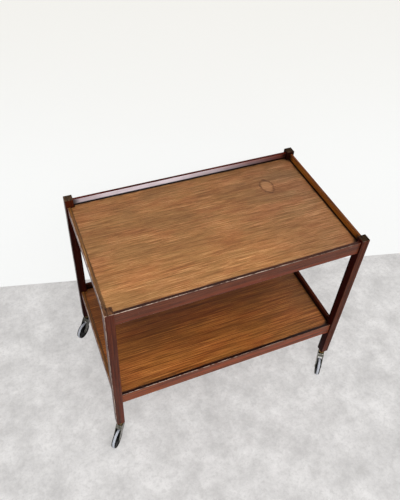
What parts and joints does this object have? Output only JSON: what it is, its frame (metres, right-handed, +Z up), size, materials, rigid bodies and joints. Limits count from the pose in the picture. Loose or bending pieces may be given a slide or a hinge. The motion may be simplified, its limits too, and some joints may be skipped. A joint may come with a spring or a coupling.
{
  "type": "tea trolley",
  "caption": "Tiered wooden tea trolley: shallow veneered trays in slim railed frames, open at one end, on square posts with swivel casters.",
  "frame": {"origin": "on the floor plane, under the middle of the frame", "axes": "+X along the length towards the closed end, +Y towards the back, +Z up"},
  "size_m": [0.8293, 0.5316, 0.656],
  "materials": {
    "frame_wood": "dark red-brown lacquer",
    "tray_veneer": "satin lacquered veneer",
    "cleat_wood": "bare sawn wood",
    "dowel_wood": "bare turned wood",
    "screw_steel": "bare steel",
    "socket_brass": "dull aged brass",
    "plated_steel": "worn bright plating",
    "wheel_plastic": "gloss black",
    "tyre_rubber": "pale grey rubber"
  },
  "bodies": {
    "frame": {"front_left_post": "frame_wood", "front_right_post": "frame_wood", "back_left_post": "frame_wood", "back_right_post": "frame_wood", "top_front_rail": "frame_wood", "top_back_rail": "frame_wood", "top_left_end_rail": "frame_wood", "top_right_end_rail": "frame_wood", "top_tray_panel": "tray_veneer", "top_front_cleat": "cleat_wood", "top_back_cleat": "cleat_wood", "top_left_cleat": "cleat_wood", "top_right_cleat": "cleat_wood", "top_rail_dowels": "dowel_wood", "top_cleat_screws": "screw_steel", "lower_front_rail": "frame_wood", "lower_back_rail": "frame_wood", "lower_left_end_rail": "frame_wood", "lower_right_end_rail": "frame_wood", "lower_tray_panel": "tray_veneer", "lower_front_cleat": "cleat_wood", "lower_back_cleat": "cleat_wood", "lower_left_cleat": "cleat_wood", "lower_right_cleat": "cleat_wood", "lower_rail_dowels": "dowel_wood", "lower_cleat_screws": "screw_steel", "front_left_caster_socket": "socket_brass", "front_right_caster_socket": "socket_brass", "back_left_caster_socket": "socket_brass", "back_right_caster_socket": "socket_brass"},
    "front_left_caster": {"front_left_caster_washer": "plated_steel", "front_left_caster_stem": "plated_steel", "front_left_caster_fork": "plated_steel", "front_left_caster_axle": "plated_steel"},
    "front_left_wheel": {"front_left_wheel_hub": "wheel_plastic", "front_left_wheel_tyre": "tyre_rubber"},
    "front_right_caster": {"front_right_caster_washer": "plated_steel", "front_right_caster_stem": "plated_steel", "front_right_caster_fork": "plated_steel", "front_right_caster_axle": "plated_steel"},
    "front_right_wheel": {"front_right_wheel_hub": "wheel_plastic", "front_right_wheel_tyre": "tyre_rubber"},
    "back_left_caster": {"back_left_caster_washer": "plated_steel", "back_left_caster_stem": "plated_steel", "back_left_caster_fork": "plated_steel", "back_left_caster_axle": "plated_steel"},
    "back_left_wheel": {"back_left_wheel_hub": "wheel_plastic", "back_left_wheel_tyre": "tyre_rubber"},
    "back_right_caster": {"back_right_caster_washer": "plated_steel", "back_right_caster_stem": "plated_steel", "back_right_caster_fork": "plated_steel", "back_right_caster_axle": "plated_steel"},
    "back_right_wheel": {"back_right_wheel_hub": "wheel_plastic", "back_right_wheel_tyre": "tyre_rubber"}
  },
  "joints": [
    {"name": "front_left_swivel", "type": "hinge", "parent": "frame", "child": "front_left_caster", "pos_m": [-0.3683, -0.2158, 0.08], "axis": [0, 0, 1], "continuous": true},
    {"name": "front_left_wheel_spin", "type": "hinge", "parent": "front_left_caster", "child": "front_left_wheel", "pos_m": [-0.38823, -0.23955, 0.03], "axis": [0.766, -0.6428, 0], "continuous": true},
    {"name": "front_right_swivel", "type": "hinge", "parent": "frame", "child": "front_right_caster", "pos_m": [0.3683, -0.2158, 0.08], "axis": [0, 0, 1], "continuous": true},
    {"name": "front_right_wheel_spin", "type": "hinge", "parent": "front_right_caster", "child": "front_right_wheel", "pos_m": [0.35008, -0.24088, 0.03], "axis": [0.809, -0.5878, 0], "continuous": true},
    {"name": "back_left_swivel", "type": "hinge", "parent": "frame", "child": "back_left_caster", "pos_m": [-0.3683, 0.2158, 0.08], "axis": [0, 0, 1], "continuous": true},
    {"name": "back_left_wheel_spin", "type": "hinge", "parent": "back_left_caster", "child": "back_left_wheel", "pos_m": [-0.39134, 0.19506, 0.03], "axis": [0.6691, -0.7431, 0], "continuous": true},
    {"name": "back_right_swivel", "type": "hinge", "parent": "frame", "child": "back_right_caster", "pos_m": [0.3683, 0.2158, 0.08], "axis": [0, 0, 1], "continuous": true},
    {"name": "back_right_wheel_spin", "type": "hinge", "parent": "back_right_caster", "child": "back_right_wheel", "pos_m": [0.38904, 0.23884, 0.03], "axis": [-0.7431, 0.6691, 0], "continuous": true}
  ]
}
